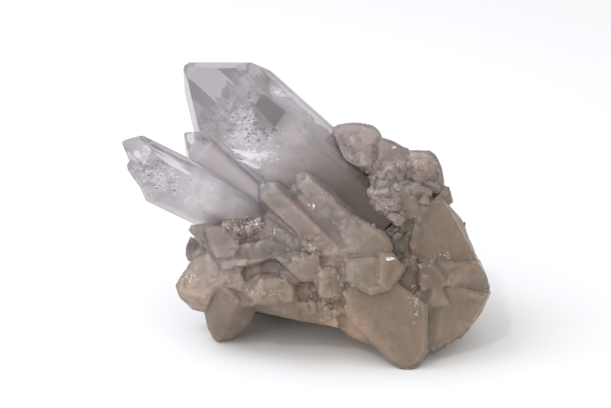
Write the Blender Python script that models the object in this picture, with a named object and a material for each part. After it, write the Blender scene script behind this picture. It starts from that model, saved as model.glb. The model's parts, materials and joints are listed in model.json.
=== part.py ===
"""Quartz crystal cluster: one large point, a second beside it and a mass of smaller
crystals, all grown together on a common root that was broken off flat underneath.

The cluster is built with its showing face upright (x across, y back into the cluster,
z up that face, millimetres) and then leaned back onto the floor it rests on.
"""
import math
import random

import bmesh
import bpy
from mathutils import Matrix, Vector

# Driving dimensions, millimetres and degrees
MM = 0.001
TIP_ANGLE = 51.8          # between the crystal's axis and a line square to a tip face
LEAN = 20.0               # how far the showing face leans back when the cluster rests
FLOOR_AT_FACE = 5.4       # where the floor meets the plane y = 0 of the showing face
MAIN_AXIS = (-0.716, 0.250, 0.652)
MAIN_FRONT = (-0.197, -0.968, 0.154)
LEFT_AXIS = (-0.896, -0.078, 0.438)
LEFT_FRONT = (0.10, -0.98, 0.16)
FRONT_AXIS = (-0.70, 0.27, 0.66)
FRONT_FACING = (-0.20, -0.95, 0.18)

for old in list(bpy.data.objects):
    bpy.data.objects.remove(old, do_unlink=True)
for old in list(bpy.data.collections):
    bpy.data.collections.remove(old)

cluster_set = bpy.data.collections.new("Quartz crystal cluster")
growth_set = bpy.data.collections.new("Growths to be joined")
bpy.context.scene.collection.children.link(cluster_set)
bpy.context.scene.collection.children.link(growth_set)

quartz = bpy.data.materials.new("Milky quartz")
quartz.use_nodes = True
surface = quartz.node_tree.nodes["Principled BSDF"]
surface.inputs["Base Color"].default_value = (0.42, 0.37, 0.33, 1)
surface.inputs["Roughness"].default_value = 0.25
surface.inputs["IOR"].default_value = 1.544


def cut(bm, point, normal):
    """Keep what lies behind a plane and close the cut with one flat face."""
    everything = bm.verts[:] + bm.edges[:] + bm.faces[:]
    bmesh.ops.bisect_plane(
        bm, geom=everything, plane_co=point, plane_no=normal, clear_outer=True
    )
    rim = [edge for edge in bm.edges if edge.is_boundary]
    if rim:
        bmesh.ops.holes_fill(bm, edges=rim, sides=0)


def finish(name, bm):
    """Turn the mesh into an object, in metres, among the growths."""
    bmesh.ops.scale(bm, vec=(MM, MM, MM), verts=bm.verts)
    bmesh.ops.recalc_face_normals(bm, faces=bm.faces)
    mesh = bpy.data.meshes.new(name)
    bm.to_mesh(mesh)
    bm.free()
    obj = bpy.data.objects.new(name, mesh)
    growth_set.objects.link(obj)
    return obj


def quartz_point(name, tip, axis, front, girth, length, setback=None, chips=()):
    """One crystal: six side faces under six tip faces.

    girth is how far each side face stands from the axis, counted round from the front
    one; setback is how far down the axis from the tip each tip face crosses it. Left
    out, the tip faces step back unevenly, so the crystal ends in a short ridge.
    """
    if setback is None:
        setback = [girth[0] * step for step in (0.0, 0.28, 0.10, 0.36, 0.18, 0.46)]
    tip = Vector(tip)
    axis = Vector(axis).normalized()
    front = Vector(front)
    front = (front - axis * front.dot(axis)).normalized()
    side = axis.cross(front)
    steep = math.radians(TIP_ANGLE)
    bm = bmesh.new()
    bmesh.ops.create_cube(bm, size=6 * length)
    bmesh.ops.translate(bm, vec=tip, verts=bm.verts)
    for k in range(6):
        turn = math.radians(60 * k)
        out = front * math.cos(turn) + side * math.sin(turn)
        cut(bm, tip + out * girth[k], out)
        slope = out * math.sin(steep) + axis * math.cos(steep)
        cut(bm, tip - axis * setback[k], slope)
    for point, normal in chips:
        cut(bm, Vector(point), Vector(normal).normalized())
    cut(bm, tip - axis * length, -axis)
    return finish(name, bm)


def even(across):
    """Girth of a crystal that is as wide between each pair of its sides."""
    return (across / 2,) * 6


def fill_hollows(bm):
    """Drop every shell but the outer one, so nothing is left sealed inside."""
    shells = []
    left = set(bm.faces)
    while left:
        grow = [left.pop()]
        shell = []
        while grow:
            face = grow.pop()
            shell.append(face)
            for edge in face.edges:
                for near in edge.link_faces:
                    if near in left:
                        left.remove(near)
                        grow.append(near)
        shells.append(shell)
    shells.sort(key=len)
    for shell in shells[:-1]:
        bmesh.ops.delete(bm, geom=shell, context="FACES")


def lump(name, corners):
    """A blocky growth: the flat-faced skin over a set of corners."""
    bm = bmesh.new()
    for corner in corners:
        bm.verts.new(corner)
    hull = bmesh.ops.convex_hull(bm, input=bm.verts)
    buried = [g for g in hull["geom_interior"] if isinstance(g, bmesh.types.BMVert)]
    bmesh.ops.delete(bm, geom=buried, context="VERTS")
    return finish(name, bm)


# The large point, its tip cut mostly by one broad face. The chips are the narrow top
# face, the slope behind it and the two small corner faces either side of the broad one.
quartz_point(
    "main point", (-45.3, 34.0, 109.0), MAIN_AXIS, MAIN_FRONT,
    (11.4, 15.9, 20.1, 26.0, 14.3, 15.6), 106.0,
    setback=(12.5, -6.0, -29.0, -44.0, -17.0, 4.2),
    chips=(
        ((-25.4, 26.5, 108.2), (-0.245, -0.303, 0.920)),
        ((-23.9, 33.0, 110.9), (0.30, 0.20, 0.93)),
        ((-25.4, 26.5, 108.2), (-0.138, -0.516, 0.845)),
        ((-40.3, 42.2, 109.4), (-0.684, -0.480, 0.550)),
    ),
)
# The shoulder crystal grown against its lower side, turned the same way
quartz_point(
    "shoulder point", (-44.5, 25.2, 83.4), MAIN_AXIS, MAIN_FRONT,
    (5.1, 7.2, 9.0, 11.0, 6.2, 7.0), 60.0, setback=(5.6, 0.8, -10.0, -16.0, -6.4, 1.9),
)
# The left point
quartz_point(
    "left point", (-73.6, 12.5, 79.1), LEFT_AXIS, LEFT_FRONT,
    (9.1, 9.1, 9.1, 9.1, 9.1, 9.1), 75.0, setback=(6.0, 0.0, 1.0, 4.0, 12.0, 11.0),
)
lump("left point, chipped corner", (
    (-61.6, 3, 74.5), (-63.2, 5, 72.2), (-62.9, 6, 70.3), (-60.2, 5, 66.6), (-58, 5, 63.8),
    (-55.5, 3, 65), (-54, 3, 69), (-58, 2, 72.6), (-59, 10, 72), (-54, 10, 66),
))
# Two points on the front of the large one
quartz_point(
    "front point, left", (-17.9, 7.2, 67.0), FRONT_AXIS, FRONT_FACING,
    even(10.8), 48.0, setback=(1.2, 0.0, 0.5, 0.2, 1.6, 0.8),
)
quartz_point(
    "front point, right", (-4.8, 7.5, 69.9), FRONT_AXIS, FRONT_FACING,
    even(9.0), 40.0, setback=(1.6, 0.0, 0.5, 0.2, 1.4, 0.8),
    chips=(((-2.9, 5.0, 69.6), (-0.90, -0.15, 0.42)),),
)
lump("web between the front points", (
    (-3.2, 2.0, 60.8), (-1, 1.0, 61.5), (6, -1.2, 57.5), (14, -4.4, 49.5), (10, -6.2, 46.5),
    (3, -3.6, 52.0), (-4, 0.8, 58), (-3, 8, 58), (14, 6, 50), (4, 8, 58), (8, 4, 46),
))

# The common root, in overlapping masses
lump("root, right", (
    (4, 4, 50), (18, 6, 66), (40, 6, 66), (46, 6, 58), (52, 8, 46), (55, 8, 32),
    (50, 6, 18), (42, 2, 12), (24, 0, 16), (8, 0, 20), (0, 2, 30),
    (12, 24, 84), (38, 24, 76), (48, 20, 66), (53, 24, 54), (60, 22, 38),
    (62, 22, 28), (57, 20, 19), (46, 18, 12), (20, 20, 14), (0, 20, 18),
    (14, 56, 70), (36, 52, 64), (46, 50, 45), (48, 50, 30), (38, 54, 14), (6, 56, 14),
))
lump("root, left", (
    (-36, 6, 38), (-34, 6, 28), (-30, 4, 22), (-16, 0, 21), (0, 0, 19), (6, 0, 40),
    (-6, 4, 56), (-26, 6, 50), (-35.5, 8, 46), (-36, 20, 42), (-38, 20, 30), (-32, 24, 21),
    (-28, 46, 24), (-24, 46, 44), (-8, 44, 60), (8, 54, 14), (10, 54, 50), (-14, 52, 16),
))
lump("root, under the large point", (
    (-4, 16, 58), (22, 12, 70), (28, 30, 76), (4, 48, 74), (-14, 46, 64),
    (-22, 36, 52), (30, 50, 50), (0, 54, 50), (0, 10, 44), (24, 6, 44),
))

# Right-hand crystals: a broad smooth one, and the blocks at the lower corner
lump("right block, smooth face", (
    (36, -5.9, 44), (38, -3.6, 53), (47, 1, 62), (56, 1.2, 46.5), (60, 1.2, 39),
    (48, -3.1, 37.5), (39, -6, 38), (51.2, 10, 57.8), (55.8, 10, 53), (57.8, 9, 46),
    (61.5, 10, 38.5), (40, 24, 56), (54, 24, 40), (38, 18, 36),
))
lump("right block, corner upper", (
    (46, -7, 38.5), (60, -2, 38.5), (50, -10, 30.5), (44, -9, 33), (63.5, 2, 33.5),
    (65.4, 6, 29), (64.4, 6, 25), (50, 14, 24), (62.3, 12, 38.6), (46, 14, 36),
))
lump("right block, corner lower", (
    (50, -9, 30.5), (64, -2, 26.8), (57.4, -5, 17.2), (45.3, -9, 11.5), (42, -8, 23),
    (65.9, 8, 27.5), (62.4, 6, 20), (57.8, 0, 15.1), (54, -2, 11.4), (51, -3, 10),
    (47, -5, 7.4), (43.4, -6, 5.9), (41, -6, 12), (60, 22, 27), (46, 22, 16),
))
lump("right block, small step", (
    (43.6, -11, 28.4), (49.5, -10, 24), (47, -10, 30), (42.5, -9, 22), (49, 0, 21),
    (43, 2, 30), (50, 2, 29),
))
lump("right block, middle", (
    (39.6, -9, 38), (44, -10, 39.3), (50, -10, 30.5), (40, -11, 28.4), (38, -8, 33),
    (40, 4, 40), (50, 4, 34), (40, 4, 26),
))
# The thick crystal pointing down to the right-hand foot
lump("right foot", (
    (30.5, -13, 32), (42, -12, 23.5), (42, -12, 8), (39.7, -11, 4.6), (38.8, -10.5, 2.2),
    (36, -11, 1.0), (33.8, -11, 1.0), (30, -10, 3.2), (28.2, -9, 5.6), (25.4, -8, 8.0),
    (14, -12, 20), (13, -14, 28), (36, 10, 34), (46, 12, 24), (44, 0, 7), (40.5, 0, 4.5),
    (36, 2, 3), (31, 2, 4), (18, 12, 13.5), (10, 12, 22), (10, 10, 34),
))
lump("right foot, inner slope", (
    (22.8, -4, 10.5), (19.2, -2, 10.8), (15.8, -1, 11.8), (26, -4, 8.2), (30, 4, 6),
    (11.6, 2, 14.8), (14, -8, 22), (26, -8, 22), (24, 16, 14), (10, 14, 18),
))
lump("front plate", (
    (13.6, -16, 32), (22.3, -17, 27.6), (29.2, -16, 29.2), (32.5, -14, 35.4), (31, -12, 39.5),
    (23, -13, 40.3), (13.6, -12, 39.4), (12, -2, 32), (22, -2, 24), (34, 0, 34),
    (30, 2, 42), (14, 2, 42),
))
lump("front boss", (
    (4.6, -12, 36), (9, -14, 37.2), (13.4, -13, 33), (14, -13, 28), (10, -14, 25.6),
    (5, -13, 26.5), (3, -11, 31), (2, 0, 38), (16, 0, 36), (14, 0, 22), (2, 0, 24),
))
lump("front ridge end", (
    (24.6, -8.5, 49.2), (27.2, -8.3, 48.9), (29.2, -8, 46.8), (30.3, -8, 43.6),
    (30.0, -9.5, 40.6), (24, -10.8, 40.5), (15.5, -10.6, 42.0), (12, -5.0, 50), (17, -3.8, 54.5),
    (24, 2, 50), (31, 4, 44), (14, 6, 58), (28, 6, 38), (10, 4, 40),
))
lump("front ridge foot", (
    (-2, -6, 45.5), (4, -9, 40.8), (14, -10.2, 40.3), (17, -9.8, 43), (7, -3.0, 52),
    (1, -1.6, 53.5), (-5, -1.6, 51.5), (-2, 2, 42), (2, 2, 36), (16, 2, 40), (6, 4, 58),
))
lump("front glassy crystal", (
    (25.0, -17.0, 31.2), (25.6, -14.2, 41.6), (30.2, -13.0, 41.8), (34.4, -12.2, 36.0),
    (31.4, -14.4, 31.8), (28, -16.2, 29.6), (26, -4, 32), (26, -2, 42), (33, -2, 38), (30, -2, 30),
))
lump("pocket floor, upper right", (
    (19, 1.5, 57), (27, 0.5, 57), (36, -0.5, 52), (39, -2.0, 45), (34, -4.5, 41.5),
    (28, -2.5, 43.5), (20, 12, 56), (38, 12, 50), (30, 12, 40),
))
lump("pocket floor, right", (
    (33, -7, 36), (38, -7, 37), (46, -6, 34), (49, -6, 28), (44.5, -6, 21), (38, -7.5, 26),
    (33, -9, 31), (36, 6, 36), (48, 6, 32), (44, 6, 22),
))
# The crystal seen end-on above the underside, and the ledge over it
lump("arched crystal", (
    (-18.6, -13, 28), (-15.4, -13.5, 32.4), (-7.2, -13.5, 32.6), (-4.4, -13, 29.6),
    (-4.4, -12.5, 25.2), (-16.8, -12, 24.4), (-22.3, -6, 27.4), (-18.6, -6, 33),
    (-16.4, -6, 34.8), (-5.4, -6, 35.2), (-2, -6, 31), (-0.8, -6, 25), (-8, -5, 21.8),
    (-20, -4, 22.6), (-20, 4, 34), (0, 4, 34), (0, 4, 22), (-20, 4, 22),
))
lump("ledge", (
    (-30.6, -4, 37.8), (-22.8, -7, 38.9), (-12.2, -8, 39.6), (-20.4, -8, 37.2),
    (-27, -6, 36.6), (-28, 2, 42), (-14, 2, 42), (-10, 2, 38.4), (-30, 4, 36),
))
lump("ledge, back", (
    (-24.8, -4, 40.2), (-22.9, -5, 44), (-12.5, -5, 46.5), (-4, -6, 42.5), (-8, -7, 38.6),
    (-14, -6, 40.0), (-22, 4, 48), (-4, 4, 46), (-8, 4, 36),
))
lump("middle slope", (
    (-15, -1, 54), (-6, -3, 49.5), (0, -6, 44), (-3, -7, 40), (-13, -4, 46), (-21, -1, 49),
    (-22, 6, 52), (2, 6, 50), (-2, 4, 38),
))
lump("arch backing", (
    (-27, -4, 36.6), (-12, -5.6, 38.6), (-7, -6.4, 37.6), (-1, -7.4, 33), (1.5, -7.8, 28),
    (0, -7, 23), (-20, -4.5, 25), (-24, -4, 30), (-26, 6, 36), (0, 6, 36), (0, 6, 24), (-22, 6, 26),
))
lump("slope beside the arch", (
    (-11.0, -7.6, 40.2), (-4.6, -10.4, 34.6), (-1.0, -11.0, 31.4), (2.6, -11.2, 31.8),
    (5.4, -10.4, 36.6), (4.6, -9.6, 40.4), (-3, -7.2, 42.6), (-8, 2, 40), (4, 2, 40), (0, 2, 32),
))
lump("step beside the left foot", (
    (-27, -4.6, 29.5), (-20, -8.2, 29.6), (-17.2, -7.6, 24.2), (-21, -6, 22.6), (-27, -3, 25),
    (-26, 6, 30), (-16, 6, 26), (-22, 6, 20),
))
lump("notch behind the ledge", (
    (-35.5, 2.4, 44), (-28, 0.5, 42), (-27.5, -1, 37), (-34, 1, 37), (-34, 8, 44), (-28, 8, 38),
))
lump("small lump", (
    (-26.8, -7, 34), (-22.6, -8, 34.6), (-20.6, -8, 30.5), (-22.8, -8, 28.4), (-27, -7, 30),
    (-28, 2, 36), (-20, 2, 36), (-20, 2, 26), (-28, 2, 27),
))
# Left-hand crystals
lump("left block, upper", (
    (-35.0, -2, 50.6), (-29.2, -4, 50.2), (-23.7, -5, 47.4), (-23.0, -6, 44), (-24.8, -6, 40.2),
    (-30.6, -5, 39.6), (-33.4, -3, 43.2), (-35, 8, 52), (-22, 6, 50), (-24, 6, 38), (-34, 8, 38),
))
lump("left block, step", (
    (-29.2, -1, 51.8), (-26, -2, 52.2), (-22.8, -2, 49), (-23.4, -3, 47), (-29, -3, 49),
    (-30, 8, 53), (-20, 8, 54), (-20, 8, 46),
))
lump("left splinter", (
    (-40.6, 4, 51.2), (-41.7, 4, 49.4), (-38.8, 3, 46.8), (-36.8, 3, 43.6), (-34, 2, 43.2),
    (-32, 4, 50), (-34, 10, 52), (-34, 10, 44),
))
lump("left chip", (
    (-41.2, 9, 47.4), (-42.8, 10, 43), (-42.9, 9, 40.2), (-41.6, 8, 38), (-37.2, 6, 43),
    (-35.5, 5, 39), (-36, 14, 45), (-38, 14, 38),
))
lump("left block, outer", (
    (-36.2, -4, 26.4), (-45.8, 3, 28.6), (-46.2, 5, 30), (-41.8, 5, 35.2), (-40.9, 6, 38.2),
    (-35.4, 1, 41), (-29.4, -4, 35.6), (-29.4, -6, 31.4), (-44.6, 6, 25.2), (-42.2, 7, 23),
    (-40.1, 7, 20.8), (-35.6, 3, 20), (-34, -3, 24), (-30, 12, 38), (-38, 16, 24), (-30, 10, 22),
))
lump("left block, inner", (
    (-29.4, -5, 38.0), (-22, -6, 37), (-21, -6, 30), (-24, -6, 26), (-30, -6, 29.6),
    (-30, 4, 40), (-20, 4, 36), (-24, 4, 24),
))
lump("left foot", (
    (-35.2, -2, 29.8), (-29.4, -6, 31), (-23, -7, 25.2), (-17.4, 0, 20.8), (-19.6, 2, 16.2),
    (-22.4, 5, 13.6), (-26.2, 8, 10.6), (-28.8, 9, 10.2), (-31.1, 10, 8.8),
    (-33.0, 9, 10.8), (-34.8, 7, 14.6), (-35.8, 5, 19.4), (-26, -4, 20), (-31, -1, 20),
    (-33, 20, 12), (-26, 22, 12), (-20, 20, 22), (-36, 16, 26),
))
# The edge of the underside between the feet
lump("lower edge, left", (
    (-17, 1, 20.8), (-11.7, 0, 20.7), (-8.2, -1, 20), (-5.4, -2, 19), (-2, -3, 17.6),
    (-4, -9, 24), (-16, -7, 24), (0, 12, 18), (-18, 14, 21), (-2, 10, 26), (-18, 10, 28),
))
lump("lower edge, middle", (
    (-3, -2, 17.8), (4.4, -3, 16.6), (8.7, -4, 15.9), (11.6, -4, 15.2), (10, -10, 22),
    (2, -10, 25), (-4, -9, 24), (-2, 12, 18), (12, 12, 16), (0, 8, 28), (14, 8, 28),
))

# The crystals along the upper right
lump("upper druse, first", (
    (9.4, 16, 86.2), (14, 20, 87.9), (18.2, 20, 88.2), (21.8, 20, 87.8), (24.6, 20, 87.0),
    (26.8, 20, 85), (27.8, 20, 82.8), (24, 14, 81), (22, 8, 70), (14, 8, 74), (12, 30, 83),
    (26, 34, 82), (30, 24, 70), (10, 24, 66),
))
lump("upper druse, second", (
    (27, 18, 82.8), (30.6, 18, 81.8), (34, 18, 79.8), (37.5, 18, 78.3), (36, 12, 74),
    (26, 8, 72), (24, 8, 64), (38, 12, 66), (30, 32, 76), (40, 30, 70),
))
lump("upper druse, third", (
    (36.6, 15, 77.9), (44.6, 14, 77.8), (46.7, 14, 76.4), (47.8, 14, 74), (49, 12, 71.2),
    (49.6, 11, 66.4), (46, 6, 66), (40, 7, 70), (38, 10, 75), (38, 8, 60), (48, 8, 60),
    (40, 28, 72), (48, 26, 62),
))
lump("upper druse, edge", (
    (51.2, 8, 64.8), (52.3, 7, 60), (51, 7, 58.2), (47.6, 5, 62.6), (47, 6, 58), (46, 16, 66),
    (48, 16, 56),
))
lump("upper druse, pale tooth", (
    (37.2, 3, 72.2), (43.4, 2, 74), (46.8, 4, 72), (40, 1, 66), (44, 2, 68), (38, 10, 74),
    (46, 12, 74), (42, 8, 62),
))
lump("upper druse, brown step", (
    (29.4, 2, 73.2), (33.6, 2, 73), (35.4, 1, 68.6), (30, 0, 67), (26, 2, 68), (27, 8, 74),
    (36, 10, 74), (36, 8, 62), (24, 8, 62),
))
lump("upper druse, brown mass", (
    (22, 0, 62), (28, -2, 66), (37, -2, 66), (42, -1, 62), (41, -3, 54), (34, -5, 52.6),
    (28, -3, 56), (22, 2, 56), (24, 10, 70), (44, 8, 66), (44, 8, 52), (30, 10, 52),
))

# Small points crusting the mass: tip, axis, width and length of each
SMALL_POINTS = (
    ((24.5, 3.5, 71), (-0.2, -0.5, 0.84), 6, 14), ((31, 1.5, 73.6), (-0.1, -0.3, 0.95), 5.5, 12),
    ((36, 8, 75.6), (0.2, -0.35, 0.92), 6, 14), ((41.5, 2.5, 74.4), (0.1, -0.4, 0.9), 7, 14),
    ((46.5, 6, 72), (0.5, -0.3, 0.8), 5, 12), ((27.5, -3.5, 62.5), (-0.3, -0.85, 0.4), 5, 12),
    ((33.5, -5, 60.5), (0.1, -0.9, 0.4), 6, 12), ((38.5, -5, 65), (0.3, -0.85, 0.45), 5, 12),
    ((33, -6.5, 55.5), (-0.3, -0.9, 0.1), 5, 12), ((19, 7.2, 78.4), (-0.3, -0.5, 0.8), 7, 16),
    ((17, 13, 84.6), (-0.1, -0.4, 0.9), 6, 14), ((23.5, 15, 84), (0.3, -0.3, 0.9), 5, 12),
    ((2.5, -10, 43), (-0.5, -0.8, 0.3), 5, 12), ((-1.5, -8, 39), (-0.6, -0.7, -0.2), 4, 10),
    ((7, -15.5, 33), (-0.1, -0.95, 0.2), 7, 13), ((11.5, -15, 29), (0.3, -0.9, -0.2), 5, 11),
    ((6, -12.5, 23.5), (-0.2, -0.85, -0.45), 5, 12), ((11, -10, 19), (0.1, -0.7, -0.7), 5, 12),
    ((0, -9, 21.5), (-0.2, -0.8, -0.5), 5, 12), ((15, -14, 23), (-0.5, -0.75, -0.4), 4, 11),
    ((19.5, -12.5, 16.5), (-0.5, -0.65, -0.6), 4, 11), ((36.5, -11, 39.5), (0, -0.9, 0.35), 6, 12),
    ((-25, -5, 52.6), (-0.2, -0.65, 0.7), 4.5, 12), ((-19.5, -4, 51.5), (0.1, -0.7, 0.7), 4, 12),
    ((-15.5, -4.5, 54.2), (0.2, -0.7, 0.65), 4, 12), ((-27, -9, 33.5), (-0.1, -0.9, 0.3), 5, 12),
    ((-33, -5.5, 35.5), (-0.5, -0.8, 0.2), 6, 13), ((-40, -1.5, 31), (-0.8, -0.55, 0.1), 6, 15),
    ((45, -11, 36), (0.3, -0.9, 0.3), 6, 13), ((54, -6, 33), (0.5, -0.8, 0.2), 8, 16),
    ((52.5, -8, 22), (0.4, -0.85, -0.3), 9, 18),
)
for count, (tip, axis, across, length) in enumerate(SMALL_POINTS):
    quartz_point("small point %02d" % count, tip, axis, (axis[2], 0.2, 0.9), even(across), length)

# The side away from the showing face, covered with points standing out from the root
BACK_MIDDLE = Vector((21, 58, 42))
BACK_REACH = 29.0
BACK_POINTS = 34
chance = random.Random(11)
for count in range(BACK_POINTS):
    around = 2.399963 * count
    away = math.sqrt((count + 0.5) / BACK_POINTS)
    flare = Vector((math.cos(around) * away, 0, math.sin(around) * away))
    lean = Vector([chance.uniform(-0.3, 0.3) for i in range(3)])
    across = chance.uniform(7, 14)
    tip = BACK_MIDDLE + flare * BACK_REACH + Vector((0, 4 - 9 * away * away, 0))
    quartz_point(
        "back point %02d" % count, tip, flare * 0.8 + Vector((0, 1, 0.15)) + lean,
        (chance.uniform(-1, 1), 0.1, 0.8), even(across), 2.6 * across,
    )

# Joined into one solid, all growths at once
cluster = bpy.data.objects["root, right"]
growth_set.objects.unlink(cluster)
cluster_set.objects.link(cluster)
cluster.name = "quartz_cluster"
for other in growth_set.objects:
    other.hide_render = True
    other.display_type = "WIRE"
bpy.context.view_layer.objects.active = cluster
join = cluster.modifiers.new("Grown together", "BOOLEAN")
join.operation = "UNION"
join.solver = "EXACT"
join.operand_type = "COLLECTION"
join.collection = growth_set
bpy.ops.object.modifier_apply(modifier=join.name)
for other in list(growth_set.objects):
    bpy.data.objects.remove(other, do_unlink=True)
bpy.data.collections.remove(growth_set)

# Leaned back, broken off flat at the floor, and set over its own middle
bm = bmesh.new()
bm.from_mesh(cluster.data)
fill_hollows(bm)
bmesh.ops.translate(bm, vec=(0, 0, -FLOOR_AT_FACE * MM), verts=bm.verts)
bmesh.ops.rotate(
    bm, cent=(0, 0, 0), matrix=Matrix.Rotation(math.radians(-LEAN), 3, "X"),
    verts=bm.verts,
)
cut(bm, Vector((0, 0, 0)), Vector((0, 0, -1)))
bmesh.ops.triangulate(bm, faces=bm.faces)
low = Vector([min(v.co[i] for v in bm.verts) for i in range(3)])
high = Vector([max(v.co[i] for v in bm.verts) for i in range(3)])
shift = Vector((-(low.x + high.x) / 2, -(low.y + high.y) / 2, -low.z))
bmesh.ops.translate(bm, vec=shift, verts=bm.verts)
bm.to_mesh(cluster.data)
bm.free()
cluster.data.materials.clear()
cluster.data.materials.append(quartz)
print("size mm", [round(1000 * (high[i] - low[i]), 1) for i in range(3)],
      "triangles", len(cluster.data.polygons),
      "shift mm", [round(1000 * shift[i], 2) for i in range(3)])
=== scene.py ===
import json
import math
import random

import bmesh
import bpy
from mathutils import Matrix, Vector, noise

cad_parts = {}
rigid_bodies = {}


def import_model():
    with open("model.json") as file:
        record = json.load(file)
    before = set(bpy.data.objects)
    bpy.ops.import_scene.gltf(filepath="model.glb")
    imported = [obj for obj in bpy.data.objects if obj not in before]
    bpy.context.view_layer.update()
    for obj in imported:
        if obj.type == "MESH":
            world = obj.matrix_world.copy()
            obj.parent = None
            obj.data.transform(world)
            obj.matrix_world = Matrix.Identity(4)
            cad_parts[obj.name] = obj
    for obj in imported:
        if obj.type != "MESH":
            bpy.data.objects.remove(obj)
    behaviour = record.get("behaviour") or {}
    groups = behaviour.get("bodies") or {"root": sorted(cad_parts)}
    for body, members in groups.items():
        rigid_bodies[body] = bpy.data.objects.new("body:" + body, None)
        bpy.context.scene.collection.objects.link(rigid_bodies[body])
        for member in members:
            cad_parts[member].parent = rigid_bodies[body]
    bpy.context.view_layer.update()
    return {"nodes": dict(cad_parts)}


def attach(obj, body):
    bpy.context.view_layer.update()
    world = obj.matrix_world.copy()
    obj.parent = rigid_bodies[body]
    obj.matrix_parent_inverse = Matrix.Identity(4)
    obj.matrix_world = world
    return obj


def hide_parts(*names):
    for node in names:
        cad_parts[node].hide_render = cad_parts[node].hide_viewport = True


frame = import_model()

# ---------------------------------------------------------------------------
# The large point: the one big quartz crystal, six flat sides under a slanted tip.
# It is clear near the tip and clouds over towards its root, where it grew out of
# the mass. Its edges are sharp, with a hair of wear.
MM = 0.001            # in metres
TIP_ANGLE = 51.8      # degrees between the crystal's axis and a line square to a tip face
LEAN = 20.0           # degrees that the showing face leans back as the cluster rests
BASE_CUT = 5.4        # mm cut off below, measured on the showing face
CENTRING = (-0.00005, -0.04039, 0)    # brings the middle of the cluster over the origin
# Places are set out in mm on the showing face held upright: x across, y back, z up.
# STOOD leans such a place back onto the floor, in metres, and UPRIGHT undoes it.
STOOD = (
    Matrix.Translation(CENTRING)
    @ Matrix.Rotation(math.radians(-LEAN), 4, "X")
    @ Matrix.Scale(MM, 4)
    @ Matrix.Translation((0, 0, -BASE_CUT))
)
UPRIGHT = STOOD.inverted()
SOCKET_ROOM = 0.12    # mm left between a point and the root that it sits in
VEIL_DEPTH = 0.9      # mm that slivers keep below the faces
WINDOW_SPAN = (-17.5, -6.5)           # the dark window, painted shade, across and up: no sliver may hide it
WINDOW_HEIGHT = (85.5, 97.0)          # may hide it
ROOT_MIDDLE = (26, 6, 44)             # where the points run together
# A point is set out by its tip, its axis, the way its first side looks, how far each of
# its six sides lies from the axis, its length, and how far down the axis each tip face
# crosses it. Chips are broken faces: a place on each and the way it looks.
LARGE = dict(
    tip=(-45.3, 34.0, 109.0), axis=(-0.716, 0.250, 0.652), front=(-0.197, -0.968, 0.154),
    girth=(11.4, 15.9, 20.1, 26.0, 14.3, 15.6), length=100.0,
    setback=(12.5, -6.0, -29.0, -44.0, -17.0, 4.2),
    chips=(
        ((-25.4, 26.5, 108.2), (-0.245, -0.303, 0.920)),
        ((-23.9, 33.0, 110.9), (0.30, 0.20, 0.93)),
        ((-25.4, 26.5, 108.2), (-0.138, -0.516, 0.845)),
        ((-40.3, 42.2, 109.4), (-0.684, -0.480, 0.550)),
    ),
)


def faces_of(tip, axis, front, girth, length, setback, chips=()):
    """Every flat face of a point, as a place on it and the way it looks."""
    tip = Vector(tip)
    axis = Vector(axis).normalized()
    front = Vector(front)
    front = (front - axis * front.dot(axis)).normalized()
    side = axis.cross(front)
    steep = math.radians(TIP_ANGLE)
    faces = []
    for k in range(6):
        turn = math.radians(60 * k)
        out = front * math.cos(turn) + side * math.sin(turn)
        faces.append((tip + out * girth[k], out))
        faces.append((tip - axis * setback[k], out * math.sin(steep) + axis * math.cos(steep)))
    faces += [(Vector(point), Vector(normal).normalized()) for point, normal in chips]
    faces.append((tip - axis * length, -axis))
    return faces


def only(*objs):
    """Select these objects and nothing else, the last one active."""
    if bpy.context.mode != "OBJECT":
        bpy.ops.object.mode_set(mode="OBJECT")
    bpy.ops.object.select_all(action="DESELECT")
    for obj in objs:
        obj.select_set(True)
        bpy.context.view_layer.objects.active = obj


def grow_point(name, spec, inset=0.0):
    """A six-sided point split out of a block, in mm on the upright face, then stood on
    the floor. inset moves every face inwards."""
    only()
    bpy.ops.mesh.primitive_cube_add(size=6 * spec["length"], location=spec["tip"])
    obj = bpy.context.object
    obj.name = obj.data.name = name
    bpy.ops.object.transform_apply(location=True, rotation=True, scale=True)
    bpy.ops.object.mode_set(mode="EDIT")
    for place, normal in faces_of(**spec):
        bpy.ops.mesh.select_all(action="SELECT")
        bpy.ops.mesh.bisect(
            plane_co=place - normal * inset, plane_no=normal, use_fill=True, clear_outer=True
        )
    bpy.ops.mesh.select_all(action="SELECT")
    bpy.ops.mesh.normals_make_consistent(inside=False)
    bpy.ops.object.mode_set(mode="OBJECT")
    obj.data.transform(STOOD)
    return obj


def use(obj, kind, **settings):
    """Put one modifier on an object and apply it."""
    only(obj)
    step = obj.modifiers.new(kind.title(), kind)
    for key, value in settings.items():
        setattr(step, key, value)
    bpy.ops.object.modifier_apply(modifier=step.name)


def heart(name, spec, reach, taper, ragged, seed, inset=2.4):
    """The cloudy inside of a point: the same six sides drawn in, thinner and more
    ragged towards the tip, where it fades out into clear quartz. reach is the share of
    the length that it fills, and taper and ragged act at the tip."""
    obj = grow_point(name, spec, inset=inset)
    use(obj, "REMESH", mode="VOXEL", voxel_size=0.0008)
    tip, axis = Vector(spec["tip"]), Vector(spec["axis"]).normalized()
    length = spec["length"]
    for vert in obj.data.vertices:
        p = UPRIGHT @ vert.co
        down = (tip - p).dot(axis)
        rise = 1 - min(1, max(0, down / length))
        middle = tip - axis * down
        # waves 6 mm across, and wisps of 2 mm
        wave = noise.fractal(p * 0.16 + Vector((seed, 0, 0)), 1.0, 2.0, 5)
        wisp = noise.fractal(p * 0.5 + Vector((0, seed, 0)), 1.0, 2.0, 4)
        q = middle + (p - middle) * (1 - taper * rise + ragged * rise * wave)
        top = max(0, reach + 0.10 * wave + 0.05 * wisp)
        if rise > top:
            q -= axis * (rise - top) * length
        vert.co = STOOD @ q
    return obj


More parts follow.
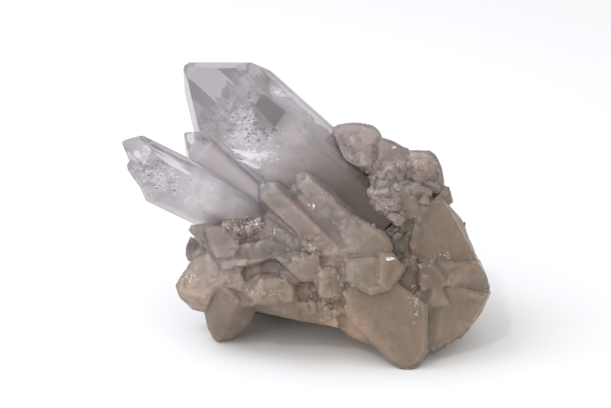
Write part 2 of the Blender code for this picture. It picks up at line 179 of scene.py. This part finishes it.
def splinter(bm, centre, reach, rng, drawn=1.0):
    """Add one sliver: four corners around a centre, each drawn out across the showing
    face by up to this many times."""
    turn = Matrix.Rotation(rng.uniform(0, 6.3), 3, Vector([rng.gauss(0, 1) for _ in range(3)]))
    corners = ((1, 0, -0.35), (-0.5, 0.86, -0.35), (-0.5, -0.86, -0.35), (0, 0, 0.5))
    verts = []
    for corner in corners:
        out = turn @ Vector(corner) * reach
        out.x *= rng.uniform(1.0, drawn)
        verts.append(bm.verts.new(STOOD @ (centre + out)))
    for face in ((0, 2, 1), (0, 1, 3), (1, 2, 3), (2, 0, 3)):
        bm.faces.new([verts[i] for i in face])


def veil(name, spec, count, seed, spots, material):
    """A veil of small flakes inside a point. Each spot is a centre, a spread along the
    three directions, a share of the count and the largest flake's size, in mm on the
    upright face. Most flakes are far smaller."""
    rng = random.Random(seed)
    faces = faces_of(**spec)
    bm = bmesh.new()
    for centre, spread, share, size in spots:
        for _ in range(int(count * share)):
            p = Vector([c + s * rng.gauss(0, 0.5) for c, s in zip(centre, spread)])
            across = WINDOW_SPAN[0] < p.x < WINDOW_SPAN[1]
            up = WINDOW_HEIGHT[0] < p.z < WINDOW_HEIGHT[1]
            if across and up:
                continue
            if all((p - place).dot(normal) < -VEIL_DEPTH for place, normal in faces):
                splinter(bm, p, size * rng.uniform(0.3, 1.0) ** 1.8, rng, drawn=2.6)
    bmesh.ops.recalc_face_normals(bm, faces=bm.faces)
    mesh = bpy.data.meshes.new(name)
    bm.to_mesh(mesh)
    bm.free()
    obj = bpy.data.objects.new(name, mesh)
    bpy.context.scene.collection.objects.link(obj)
    wear(obj, material)
    return obj


def plate(name, corners, thick, inward):
    """A flat inner flaw: corners on a face of the point, set inward and given a
    thickness, in mm."""
    bm = bmesh.new()
    verts = [bm.verts.new(Vector(c) + Vector(inward)) for c in corners]
    face = bm.faces.new(verts)
    grown = bmesh.ops.extrude_face_region(bm, geom=[face])
    moved = [g for g in grown["geom"] if isinstance(g, bmesh.types.BMVert)]
    bmesh.ops.translate(bm, vec=(0, thick, 0), verts=moved)
    bmesh.ops.transform(bm, matrix=STOOD, verts=bm.verts)
    bmesh.ops.recalc_face_normals(bm, faces=bm.faces)
    mesh = bpy.data.meshes.new(name)
    bm.to_mesh(mesh)
    bm.free()
    obj = bpy.data.objects.new(name, mesh)
    bpy.context.scene.collection.objects.link(obj)
    return obj


def linear(hex_colour):
    """An sRGB hex colour as the linear colour that a shader takes."""
    parts = [int(hex_colour[i:i + 2], 16) / 255 for i in (0, 2, 4)]
    return tuple(
        c / 12.92 if c <= 0.04045 else ((c + 0.055) / 1.055) ** 2.4 for c in parts
    ) + (1.0,)


def add(tree, kind, values=(), **settings):
    """Add a node. values sets its inputs by name or number: a socket is linked."""
    node = tree.nodes.new(kind)
    for key, value in settings.items():
        setattr(node, key, value)
    for key, value in dict(values).items():
        if isinstance(value, bpy.types.NodeSocket):
            tree.links.new(value, node.inputs[key])
        else:
            node.inputs[key].default_value = value
    return node


def finish_named(name, **settings):
    """A new material, its node tree and its shader, whose sockets take the settings."""
    material = bpy.data.materials.new(name)
    material.use_nodes = True
    shader = material.node_tree.nodes["Principled BSDF"]
    for key, value in settings.items():
        shader.inputs[key.replace("_", " ")].default_value = value
    return material, material.node_tree, shader


def wear(obj, material):
    """Give an object this one material."""
    obj.data.materials.clear()
    obj.data.materials.append(material)


def fit(*objs):
    """Fix pieces to the cluster: they ride with it and stand for its one solid."""
    for obj in objs:
        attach(obj, "root")
        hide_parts("quartz_cluster")


def towards_root(tree, near, far):
    """0 out along a point, rising to 1 where it meets the root; near and far in mm."""
    place = add(tree, "ShaderNodeTexCoord").outputs["Object"]
    away = add(tree, "ShaderNodeVectorMath", {0: place, 1: STOOD @ Vector(ROOT_MIDDLE)},
               operation="DISTANCE")
    rise = add(tree, "ShaderNodeMapRange", {"Value": away.outputs["Value"], 1: far * MM,
                                            2: near * MM, 3: 0.0, 4: 1.0})
    return rise.outputs[0]


def strengthen(tree, value, place, spots):
    """Multiply a value near some spots. Each spot is a place and the distances in mm
    within which it acts fully and beyond which it doesn't, and what it multiplies by."""
    for centre, near, far, strength in spots:
        away = add(tree, "ShaderNodeVectorMath", {0: place, 1: STOOD @ Vector(centre)},
                   operation="DISTANCE")
        share = add(tree, "ShaderNodeMapRange", {"Value": away.outputs["Value"], 1: near * MM,
                                                 2: far * MM, 3: strength, 4: 1.0},
                    interpolation_type="SMOOTHSTEP")
        value = add(tree, "ShaderNodeMath", {0: value, 1: share.outputs[0]},
                    operation="MULTIPLY").outputs[0]
    return value


# Clear rock crystal: glassy, with a trace of haze that keeps some light at the face,
# greyer at the tips, brown towards the root, with painted shade over the dark window
# and painted light in the left point
clear, tree, shader = finish_named(
    "Rock crystal quartz, clear", Roughness=0.06, IOR=1.544, Transmission_Weight=0.75,
)
rise = towards_root(tree, 22, 106)
tone = add(tree, "ShaderNodeValToRGB", {0: rise})
stops = tone.color_ramp.elements
stops[0].position, stops[0].color = 0.0, linear("BCB6B8")
stops[1].position, stops[1].color = 1.0, linear("8F8074")
stops.new(0.36).color = linear("D1CBCE")
stops.new(0.50).color = linear("F6F1F4")
stops.new(0.74).color = linear("DAD2D1")
place = add(tree, "ShaderNodeTexCoord").outputs["Object"]
# painted shade: darker over the dark window; painted light: lighter in the left point, which the
# window lights
light = strengthen(tree, 1.0, place, (
    ((-12.5, 13.5, 91), 4, 10, 0.66),
    ((-50, 7, 68), 10, 28, 1.28),
))
lit = add(tree, "ShaderNodeHueSaturation", {"Color": tone.outputs[0], "Value": light})
tree.links.new(lit.outputs[0], shader.inputs["Base Color"])
# takes up about a third of the light in 30 mm
absorb = add(tree, "ShaderNodeVolumeAbsorption", {"Color": linear("DCD6DA"), "Density": 40.0})
tree.links.new(absorb.outputs[0], tree.nodes["Material Output"].inputs["Volume"])

# Quartz clouded by tiny bubbles: milky white in wisps 9 mm across, brown at the root
veiled, tree, shader = finish_named(
    "Cloudy quartz, full of tiny bubbles", Roughness=0.6, Subsurface_Weight=1.0,
    Subsurface_Radius=(0.004, 0.004, 0.004), Subsurface_Scale=1.0,
)
place = add(tree, "ShaderNodeTexCoord").outputs["Object"]
cloud = add(tree, "ShaderNodeTexNoise", {"Vector": place, "Scale": 110.0, "Detail": 8.0,
                                         "Roughness": 0.6, "Distortion": 0.6})
ramp = add(tree, "ShaderNodeValToRGB", {0: cloud.outputs["Fac"]})
stops = ramp.color_ramp.elements
stops[0].position, stops[0].color = 0.36, linear("D6CFD2")
stops[1].position, stops[1].color = 0.66, linear("FFFCFE")
tone = add(tree, "ShaderNodeMix", {0: towards_root(tree, 24, 50), 6: ramp.outputs[0],
                                   7: linear("938579")}, data_type="RGBA")
tree.links.new(tone.outputs[2], shader.inputs["Base Color"])

# Fracture faces inside the crystal: white ones with a painted glow, as of light caught from the
# window, and near-black ones that are painted shade
bright = finish_named(
    "Inner fracture, with painted glow", Base_Color=linear("FFFFFF"), Roughness=0.25,
    Emission_Color=linear("E6ECFF"), Emission_Strength=0.3,
)[0]
shadowed = finish_named(
    "Inner fracture, painted shade", Base_Color=linear("120D0F"), Roughness=0.4,
)[0]

large = grow_point("large_point", LARGE)
large_socket = grow_point("socket large", LARGE, inset=-SOCKET_ROOM)
large_heart = heart("large_point_heart", LARGE, reach=0.70, taper=0.30, ragged=0.35, seed=3.0)
# The flakes glow a little: painted light. The spot at (-9, 22.5, 100) gathers them into a painted
# glint on the upper right face.
large_veil = veil("large_point_veil", LARGE, 3000, 5, (
    ((-22.0, 14.5, 88.0), (11, 3, 8), 0.40, 0.50),
    ((-29, 16.5, 93), (9, 4, 6), 0.12, 0.40),
    ((-20, 14, 78), (22, 5, 14), 0.08, 0.28),
    ((-21, 12.4, 76.0), (9, 1.2, 2.4), 0.24, 0.62),
    ((-22, 14.0, 82.5), (10, 2, 4), 0.05, 0.5),
    ((-9.0, 22.5, 100.0), (4, 3, 4), 0.16, 0.75),
), bright)
large_shade = veil("large_point_shade", LARGE, 1000, 6, (
    ((-18.5, 13.4, 87.5), (8, 1.6, 6), 0.7, 0.75),
    ((-24, 14.5, 91), (7, 2, 5), 0.3, 0.6),
), shadowed)
# The dark window: a near-black sheet a little under the face, painted shade for the dark
# reflection in the crystal
dark_window = plate("large_point_window", (
    (-15.6, 15.3, 98.0), (-7.4, 13.9, 91.4), (-11.0, 11.7, 86.0), (-18.2, 14.5, 94.1),
), 0.25, (0.1, 1.1, -0.4))
wear(dark_window, shadowed)
# Bright streaks inside, in the glowing material: painted highlight
streaks = [
    plate("large_point_streak_" + str(k), corners, 0.2, (0, 0.9, 0))
    for k, corners in enumerate((
        ((-27.4, 13.6, 78.3), (-20.5, 12.3, 77.2), (-16.0, 11.2, 75.0), (-21.5, 11.9, 75.2)),
        ((-24.5, 12.6, 74.4), (-19.5, 11.6, 73.4), (-15.6, 10.7, 71.2), (-17.6, 10.9, 71.0)),
    ))
]
for obj in streaks:
    wear(obj, bright)

# ---------------------------------------------------------------------------
# The left point: a smaller crystal of the same quartz, lying lower, its corner
# broken. A flat flaw runs down it, bright with a painted highlight, and fine fractures fill its
# lower side.
LEFT = dict(
    tip=(-73.6, 12.5, 79.1), axis=(-0.896, -0.078, 0.438), front=(0.10, -0.98, 0.16),
    girth=(9.1,) * 6, length=75.0, setback=(6.0, 0.0, 1.0, 4.0, 12.0, 11.0),
)
CHIPPED_CORNER = (
    (-61.6, 3, 74.5), (-63.2, 5, 72.2), (-62.9, 6, 70.3), (-60.2, 5, 66.6), (-58, 5, 63.8),
    (-55.5, 3, 65), (-54, 3, 69), (-58, 2, 72.6), (-59, 10, 72), (-54, 10, 66),
)


def lump(name, corners):
    """The flat-faced skin over a set of corners, in mm on the upright face."""
    mesh = bpy.data.meshes.new(name)
    mesh.from_pydata([Vector(c) for c in corners], [], [])
    obj = bpy.data.objects.new(name, mesh)
    bpy.context.scene.collection.objects.link(obj)
    only(obj)
    bpy.ops.object.mode_set(mode="EDIT")
    bpy.ops.mesh.select_all(action="SELECT")
    bpy.ops.mesh.convex_hull()
    bpy.ops.mesh.normals_make_consistent(inside=False)
    bpy.ops.object.mode_set(mode="OBJECT")
    obj.data.transform(STOOD)
    return obj


left = grow_point("left_point", LEFT)
chip = lump("left chip", CHIPPED_CORNER)
use(left, "BOOLEAN", operation="UNION", solver="EXACT", object=chip)
left_socket = grow_point("socket left", LEFT, inset=-SOCKET_ROOM)
# swollen by the same room, the corner cuts a socket for itself
for vert in chip.data.vertices:
    vert.co = vert.co + vert.normal * SOCKET_ROOM * MM
left_heart = heart("left_point_heart", LEFT, reach=0.72, taper=0.30, ragged=0.35, seed=11.0,
                   inset=1.7)
# The flakes glow a little: painted light.
left_veil = veil("left_point_veil", LEFT, 1500, 9, (
    ((-54, 6, 68), (9, 3, 6), 0.55, 0.55),
    ((-46, 6.5, 64), (12, 4, 7), 0.30, 0.35),
    ((-60, 9, 71), (6, 4, 5), 0.15, 0.4),
), bright)
left_shade = veil("left_point_shade", LEFT, 300, 10, (
    ((-53, 5.5, 67), (9, 3, 6), 1.0, 0.5),
), shadowed)
# the flaw glows: painted highlight
left_plane = plate("left_point_plane", (
    (-57.5, 9.4, 80.3), (-49.5, 9.6, 77.0), (-40.0, 7.2, 69.6), (-48.0, 8.0, 73.0),
), 0.2, (0, 0.9, -1.2))
wear(left_plane, bright)

for obj in (large, left):
    use(obj, "BEVEL", width=0.00025, segments=2, limit_method="ANGLE",
        angle_limit=math.radians(10))
    wear(obj, clear)
for obj in (large_heart, left_heart):
    wear(obj, veiled)
    only(obj)
    bpy.ops.object.shade_smooth()
fit(large, large_heart, large_veil, large_shade, dark_window, *streaks)
fit(left, left_heart, left_veil, left_shade, left_plane)

# ---------------------------------------------------------------------------
# The shoulder: a lesser point grown against the large one's lower side, turned the
# same way. The same quartz, a little foggier, with its cloudy inside.
SHOULDER = dict(
    tip=(-44.5, 25.2, 83.4), axis=(-0.716, 0.250, 0.652), front=(-0.197, -0.968, 0.154),
    girth=(5.1, 7.2, 9.0, 11.0, 6.2, 7.0), length=50.0,
    setback=(5.6, 0.8, -10.0, -16.0, -6.4, 1.9),
)
# The same quartz with more haze in it
foggy, tree, shader = finish_named(
    "Quartz, slightly foggy", Base_Color=linear("EAE2E4"), Roughness=0.12, IOR=1.544,
    Transmission_Weight=0.7,
)
absorb = add(tree, "ShaderNodeVolumeAbsorption", {"Color": linear("E4DCDC"), "Density": 20.0})
tree.links.new(absorb.outputs[0], tree.nodes["Material Output"].inputs["Volume"])
shoulder = grow_point("shoulder_point", SHOULDER)
use(shoulder, "BEVEL", width=0.0002, segments=2, limit_method="ANGLE",
    angle_limit=math.radians(10))
wear(shoulder, foggy)
shoulder_socket = grow_point("socket shoulder", SHOULDER, inset=-0.1)
shoulder_heart = heart("shoulder_point_heart", SHOULDER, reach=0.84, taper=0.30, ragged=0.30,
                       seed=21.0, inset=1.2)
wear(shoulder_heart, veiled)
only(shoulder_heart)
bpy.ops.object.shade_smooth()
fit(shoulder, shoulder_heart)

# ---------------------------------------------------------------------------
# The root mass: the many crystals that grew into one another under the two points.
# Milky, browner towards the foot and the right, in part iron stain and in part painted
# shade, frosty where it broke, with a cloudier body a little under the skin.
cad = frame["nodes"]["quartz_cluster"]
mass = bpy.data.objects.new("root_mass", cad.data.copy())
bpy.context.scene.collection.objects.link(mass)
only(mass)
bpy.ops.object.mode_set(mode="EDIT")
bpy.ops.mesh.select_all(action="SELECT")
bpy.ops.mesh.remove_doubles(threshold=0.00001)
bpy.ops.object.mode_set(mode="OBJECT")
for socket in (large_socket, left_socket, chip, shoulder_socket):
    use(mass, "BOOLEAN", operation="DIFFERENCE", solver="EXACT", object=socket)
    bpy.data.objects.remove(socket, do_unlink=True)


def copy_of(obj, name):
    """A copy of an object with a mesh of its own."""
    other = obj.copy()
    other.data = obj.data.copy()
    other.name = other.data.name = name
    bpy.context.scene.collection.objects.link(other)
    return other


# What grew into the narrow gaps: the mass swollen shut, then drawn in again
filling = copy_of(mass, "filling")
use(filling, "REMESH", mode="VOXEL", voxel_size=0.0007)
use(filling, "DISPLACE", strength=0.0016, mid_level=0.0)
use(filling, "REMESH", mode="VOXEL", voxel_size=0.0007)
use(filling, "DISPLACE", strength=-0.0022, mid_level=0.0)
only(filling, mass)
bpy.ops.object.join()
use(mass, "REMESH", mode="VOXEL", voxel_size=0.0005)

# The cloudier body, drawn in 1.6 mm. It comes apart where the root is thin, and only
# the part that holds its outmost point on the right stays.
core = copy_of(mass, "root_mass_core")
use(core, "DISPLACE", strength=-0.0016, mid_level=0.0)
use(core, "REMESH", mode="VOXEL", voxel_size=0.0009)
use(core, "SMOOTH", factor=0.5, iterations=2)
only(core)
bpy.ops.object.mode_set(mode="EDIT")
bpy.ops.mesh.select_all(action="DESELECT")
bpy.ops.object.mode_set(mode="OBJECT")
outmost = max(core.data.vertices, key=lambda v: v.co.x)
outmost.select = True
bpy.ops.object.mode_set(mode="EDIT")
bpy.ops.mesh.select_linked()
bpy.ops.mesh.select_all(action="INVERT")
bpy.ops.mesh.delete(type="VERT")
bpy.ops.object.mode_set(mode="OBJECT")

# Shallow facets all over the skin, where it broke or small crystals grew
ROUGH = (  # place on the upright face and reach in mm, then how rough
    ((9, -13, 31), 8, 0.7), ((-12, -13, 29), 8, 0.6), ((-27, -6, 33), 7, 0.5),
    ((-40, 0, 30), 9, 0.4), ((4, -9, 21), 7, 0.8), ((-22, -4, 50), 7, 0.6),
    ((2, -9, 44), 5, 0.6), ((32, -3, 60), 11, 0.9), ((20, 8, 80), 9, 0.5),
    ((42, 4, 72), 8, 0.6), ((50, -8, 34), 9, 0.4), ((52, -6, 20), 9, 0.4),
    ((47, -4, 9), 7, 0.5), ((-17, -8, 38), 7, 0.4), ((18, -13, 22), 5, 0.4),
)
ROUGH_LEAST = 0.2
ROUGH_BACK = 0.45         # on all that lies further back than BACK_FROM
BACK_FROM = 22
FACETS = ((5.5, 0.15), (2.6, 0.13))   # how wide a facet is, in mm, and how far it slants
moved = []
for vert in mass.data.vertices:
    p = UPRIGHT @ vert.co
    rough = ROUGH_LEAST
    for centre, reach, strength in ROUGH:
        near = (p - Vector(centre)).length / reach
        if near < 1.4:
            rough = max(rough, strength * min(1, 2.4 * (1.4 - near)))
    if p.y > BACK_FROM:
        rough = max(rough, ROUGH_BACK)
    push = 0.0
    for cell, slope in FACETS:
        middle = noise.voronoi(p / cell)[1][0]
        slant = noise.cell_vector(middle) * 2 - Vector((1, 1, 1))
        push += rough * slope * cell * slant.dot(p / cell - middle)
    push += 0.03 * noise.fractal(p * 0.9, 1.0, 2.0, 3)
    # rough places are drawn in a little, as the facets stand out from the skin
    moved.append(vert.co + vert.normal * (push - 0.2 * rough) * MM)
for vert, new_place in zip(mass.data.vertices, moved):
    vert.co = new_place
    vert.co.z = max(vert.co.z, 0.0)
use(mass, "DECIMATE", ratio=0.45)
for vert in mass.data.vertices:
    vert.co.z = max(vert.co.z, 0.0)

# Small points sprouting in crusts: six sides and a tip, modelled once
only()
bpy.ops.mesh.primitive_cylinder_add(vertices=6, radius=0.5, depth=2.0, end_fill_type="NGON")
seed_point = bpy.context.object
bpy.ops.object.mode_set(mode="EDIT")
bpy.ops.mesh.select_all(action="DESELECT")
bpy.ops.object.mode_set(mode="OBJECT")
for face in seed_point.data.polygons:
    face.select = face.normal.z > 0.9
bpy.ops.object.mode_set(mode="EDIT")
bpy.ops.mesh.extrude_region_move(TRANSFORM_OT_translate={"value": (0, 0, 0.55)})
bpy.ops.transform.resize(value=(0.12, 0.3, 1))
bpy.ops.object.mode_set(mode="OBJECT")
CRUSTS = (  # place on the upright face, reach, how many, and width, in mm
    ((32, -2, 61), 11, 44, 5.2), ((27, 4, 72), 8, 18, 5.0), ((41, 3, 72), 8, 18, 5.0),
    ((23, 4, 62), 7, 22, 4.4), ((27, 0, 54), 6, 14, 4.0), ((-24, -3, 50), 6, 12, 3.4),
    ((4, -9, 22), 6, 14, 2.8), ((38, -7, 40), 4, 7, 3.6), ((0, -6, 27), 5, 12, 3.4),
    ((9, -13, 31), 5, 9, 3.4), ((3, -8, 43), 3, 5, 3.0), ((20, 50, 55), 22, 60, 6.4),
    ((-6, 48, 40), 20, 50, 6.4), ((36, 44, 34), 18, 40, 6.4), ((52, 20, 55), 14, 26, 5.2),
    ((-30, 26, 34), 12, 24, 5.2),
)
rng = random.Random(17)
growth = Vector((-0.55, -0.25, 0.80))     # up, to the left and a little forwards
bm = bmesh.new()
turn_up = UPRIGHT.to_3x3()
skin = [(UPRIGHT @ v.co, (turn_up @ v.normal).normalized()) for v in mass.data.vertices]
for centre, reach, count, width in CRUSTS:
    near = [s for s in skin if (s[0] - Vector(centre)).length < reach]
    for _ in range(count):
        spot, normal = rng.choice(near)
        stray = Vector([rng.gauss(0, 0.22) for _ in range(3)])
        way = (normal * 0.9 + growth * 0.7 + stray).normalized()
        if way.dot(normal) < 0.5:
            continue
        across = width * rng.uniform(0.45, 1.0)
        turned = way.to_track_quat("Z", "Y").to_matrix().to_4x4()
        spin = Matrix.Rotation(rng.uniform(0, 6.3), 4, "Z")
        deep = across * rng.uniform(0.7, 1.0)
        long = across * rng.uniform(0.7, 1.0)
        sunk = long * rng.uniform(1.12, 1.32)
        grown = Matrix.Translation(spot - way * sunk) @ turned @ spin
        before = len(bm.verts)
        bm.from_mesh(seed_point.data)
        bm.verts.ensure_lookup_table()
        bmesh.ops.transform(bm, matrix=STOOD @ grown @ Matrix.Diagonal((across, deep, long, 1)),
                            verts=bm.verts[before:])
for v in bm.verts:
    v.co.z = max(v.co.z, 0.0002)
crust_mesh = bpy.data.meshes.new("crust_points")
bm.to_mesh(crust_mesh)
bm.free()
crust = bpy.data.objects.new("crust_points", crust_mesh)
bpy.context.scene.collection.objects.link(crust)
bpy.data.objects.remove(seed_point, do_unlink=True)

# Glitter: specks of broken face on the skin of the root, glinting with a painted glow. Each is
# sent onto the skin from a place well in front of the showing face.
GLITTER = (  # place across and up, spread across and up, how many, and size, in mm
    (-19, 51.5, 4.2, 2.6, 70, 0.34), (2.0, 43.0, 2.2, 1.0, 16, 0.42),
    (2.6, 57.8, 1.3, 0.8, 8, 0.5), (29.5, 39.3, 1.6, 0.5, 14, 0.5),
    (30, 62, 7, 6, 60, 0.28), (-40, 33, 3.0, 3.0, 14, 0.45),
    (-14, 27, 5, 2, 24, 0.28), (38, 24, 1.5, 9, 26, 0.34),
    (-22, 30, 3.0, 3, 16, 0.28), (21, 86.5, 2, 0.7, 8, 0.5),
    (31, 78, 1.5, 0.8, 8, 0.5), (48, 40, 6, 1, 18, 0.3),
    (8, 24, 5, 3, 26, 0.28), (-11, 49, 4, 2, 16, 0.3),
)
bm = bmesh.new()
before_face = STOOD @ Vector((0, -600, 58.45))
for across_at, up_at, wide, tall, count, size in GLITTER:
    for _ in range(count):
        aim = Vector((rng.gauss(across_at, wide / 2), 0, rng.gauss(up_at, tall / 2)))
        way = (STOOD @ aim - before_face).normalized()
        hit, spot = mass.ray_cast(before_face, way)[:2]
        if hit:
            splinter(bm, UPRIGHT @ spot, size * rng.uniform(0.5, 1.0), rng)
bmesh.ops.recalc_face_normals(bm, faces=bm.faces)
glitter_mesh = bpy.data.meshes.new("glitter")
bm.to_mesh(glitter_mesh)
bm.free()
glitter = bpy.data.objects.new("glitter", glitter_mesh)
bpy.context.scene.collection.objects.link(glitter)
wear(glitter, bright)

# Milky quartz, coloured by iron stain and painted shade: see-through in part, its tint building
# up with thickness
milky, tree, shader = finish_named(
    "Milky quartz, iron stain and painted shade", IOR=1.544, Transmission_Weight=0.76,
)
# Lighter and darker spots on the root. Two are painted light: lighter at the left block (-40, 0,
# 30), which faces the window, and under the front (14, -4, 14), where the floor lights it.
TONES_AND_PAINTED_LIGHT = (  # place on the upright face and reach in mm, then how much lighter or darker
    ((-40, 0, 30), 18, 1.2), ((18, 12, 84), 18, 1.2), ((40, 8, 76), 12, 1.25),
    ((14, -4, 14), 14, 1.5), ((33, -2, 47), 11, 0.75), ((-9, -6, 44), 14, 0.75),
    ((-12, 1, 62), 11, 0.85), ((-28, 0, 20), 16, 0.78), ((12, -5, 53), 12, 0.85),
    ((42, -9, 34), 10, 0.8), ((-38, 18, 76), 22, 1.15), ((-34, 0, 46), 9, 0.82),
    ((-40.5, 7, 44), 5, 0.5), ((0, -4, 27.6), 6, 1.4),
)


def stain_and_painted_light(tree, shader, pale, middle_tone, brown, mottle, mottle_scale):
    """Base colour that runs from pale quartz high on the left to brown low on the right,
    in part iron stain and in part painted shade away from the window; mottled, with painted
    highlight on edges, painted shade in crevices, and lighter and darker spots, two of them
    painted light. Returns the mottle."""
    place = add(tree, "ShaderNodeTexCoord").outputs["Object"]
    # along the ramp by 12.5 for each metre down and 5.2 for each metre to the right
    parts = add(tree, "ShaderNodeSeparateXYZ", {0: place})
    along = add(tree, "ShaderNodeMath", {0: parts.outputs["X"], 1: 5.2}, operation="MULTIPLY")
    fall = add(tree, "ShaderNodeMath", {0: parts.outputs["Z"], 1: -12.5, 2: along.outputs[0]},
               operation="MULTIPLY_ADD")
    # the run wanders in clouds 13 mm across
    cloud = add(tree, "ShaderNodeTexNoise", {"Vector": place, "Scale": 75.0, "Detail": 5.0})
    drift = add(tree, "ShaderNodeMath", {0: cloud.outputs["Fac"], 1: 0.5, 2: fall.outputs[0]},
                operation="MULTIPLY_ADD")
    shift = add(tree, "ShaderNodeMath", {0: drift.outputs[0], 1: 0.82}, operation="ADD")
    # the run to brown is in part iron stain, in part painted shade away from the window
    ramp = add(tree, "ShaderNodeValToRGB", {0: shift.outputs[0]})
    stops = ramp.color_ramp.elements
    stops[0].position, stops[0].color = 0.05, linear(pale)
    stops[1].position, stops[1].color = 0.85, linear(brown)
    stops.new(0.30).color = linear(middle_tone)
    # pinkish and greenish clouds, 12 mm across
    hues = add(tree, "ShaderNodeTexNoise", {"Vector": place, "Scale": 85.0, "Detail": 2.0})
    tint = add(tree, "ShaderNodeValToRGB", {0: hues.outputs["Fac"]})
    stops = tint.color_ramp.elements
    stops[0].position, stops[0].color = 0.38, linear("B7BDB4")
    stops[1].position, stops[1].color = 0.62, linear("C4B7B4")
    mixed = add(tree, "ShaderNodeMix", {0: 0.55, 6: ramp.outputs[0], 7: tint.outputs[0]},
                data_type="RGBA", blend_type="SOFT_LIGHT")
    fine = add(tree, "ShaderNodeTexNoise", {"Vector": place, "Scale": mottle_scale, "Detail": 6.0,
                                            "Roughness": 0.7})
    speck = add(tree, "ShaderNodeMapRange", {"Value": fine.outputs["Fac"], 1: 0.3, 2: 0.7,
                                             3: 1 - mottle, 4: 1 + mottle})
    # painted highlight on edges and painted shade in crevices, by how sharp the surface is
    form = add(tree, "ShaderNodeNewGeometry")
    painted_edge_light_and_crease_shade = add(tree, "ShaderNodeMapRange", {"Value": form.outputs["Pointiness"], 1: 0.46,
                                            2: 0.57, 3: 0.78, 4: 1.50})
    both = add(tree, "ShaderNodeMath", {0: speck.outputs[0], 1: painted_edge_light_and_crease_shade.outputs[0]},
               operation="MULTIPLY")
    light = strengthen(tree, both.outputs[0], place, [
        (centre, 0.3 * reach, reach, strength) for centre, reach, strength in TONES_AND_PAINTED_LIGHT
    ])
    lit = add(tree, "ShaderNodeHueSaturation", {"Color": mixed.outputs[2], "Value": light})
    tree.links.new(lit.outputs[0], shader.inputs["Base Color"])
    return fine


# mottled and pitted in specks 3 mm across
fine = stain_and_painted_light(tree, shader, "EAE4EA", "C4BAB8", "C4B2A1", 0.10, 300.0)
bump = add(tree, "ShaderNodeBump", {"Height": fine.outputs["Fac"], "Strength": 0.4,
                                    "Distance": 0.0004})
tree.links.new(bump.outputs[0], shader.inputs["Normal"])
# glassy and frosted patches, 6 mm across
place = add(tree, "ShaderNodeTexCoord").outputs["Object"]
frost = add(tree, "ShaderNodeTexNoise", {"Vector": place, "Scale": 160.0, "Detail": 3.0})
dull = add(tree, "ShaderNodeMapRange", {"Value": frost.outputs["Fac"], 1: 0.38, 2: 0.62,
                                        3: 0.17, 4: 0.36})
tree.links.new(dull.outputs[0], shader.inputs["Roughness"])
# takes up nearly half of the light in 10 mm, and blue light most
absorb = add(tree, "ShaderNodeVolumeAbsorption", {"Color": linear("CABCB0"), "Density": 110.0})
tree.links.new(absorb.outputs[0], tree.nodes["Material Output"].inputs["Volume"])
wear(mass, milky)
wear(crust, milky)
only(mass)
bpy.ops.object.shade_smooth_by_angle(angle=math.radians(30))

# The cloudy body under the skin, in which the light spreads: mottled in 8 mm clouds
inner, tree, shader = finish_named(
    "Milky quartz, cloudy body", Roughness=0.6, Subsurface_Weight=1.0,
    Subsurface_Radius=(0.006, 0.005, 0.004), Subsurface_Scale=1.0,
)
# the same painted shade, edge highlight and painted light spots as the skin
stain_and_painted_light(tree, shader, "F2ECF2", "CEC3BF", "BCA793", 0.30, 130.0)
wear(core, inner)
only(core)
bpy.ops.object.shade_smooth()
fit(mass, core, crust, glitter)

# ---------------------------------------------------------------------------
# The floor, a sheet of white paper, under the soft white light of a room with a window
# at the left, and the camera, which stands square to the showing face.
bpy.ops.mesh.primitive_plane_add(size=6.0, location=(0, 0, 0))
floor = bpy.context.object
floor.name = "pale_floor"
paper = finish_named("White matt paper", Base_Color=linear("F6F6F6"), Roughness=0.9)[0]
wear(floor, paper)

scene = bpy.context.scene
scene.view_settings.view_transform = "Standard"
world = bpy.data.worlds.new("Soft white room")
scene.world = world
world.use_nodes = True
world.node_tree.nodes["Background"].inputs["Color"].default_value = (1, 1, 1, 1)
world.node_tree.nodes["Background"].inputs["Strength"].default_value = 0.86


def lamp(name, place, aim, size, power, colour):
    """A square soft light, aimed at a point."""
    data = bpy.data.lights.new(name, "AREA")
    data.shape = "SQUARE"
    data.size = size
    data.energy = power
    data.color = linear(colour)[:3]
    obj = bpy.data.objects.new(name, data)
    obj.location = place
    obj.rotation_euler = (Vector(place) - Vector(aim)).to_track_quat("Z", "Y").to_euler()
    bpy.context.scene.collection.objects.link(obj)


lamp("window", (-0.5, 0.1, 0.7), (0, 0, 0.05), 0.5, 2.8, "E8EEFF")
lamp("fill", (-0.55, -0.45, 0.12), (-0.03, 0, 0.05), 0.3, 1.0, "FFFAF6")
lamp("glint", (-0.35, -0.55, 0.9), (0, 0, 0.05), 0.06, 1.2, "FFFFFF")

# 600 mm in front of the showing face and level with its middle
camera = bpy.data.objects.new("camera", bpy.data.cameras.new("camera"))
camera.location = (-0.00005, -0.58606, 0.25506)
camera.rotation_euler = (math.radians(90 - LEAN), 0, 0)
camera.data.sensor_width = 36
camera.data.lens = 101.0
scene.collection.objects.link(camera)
scene.camera = camera
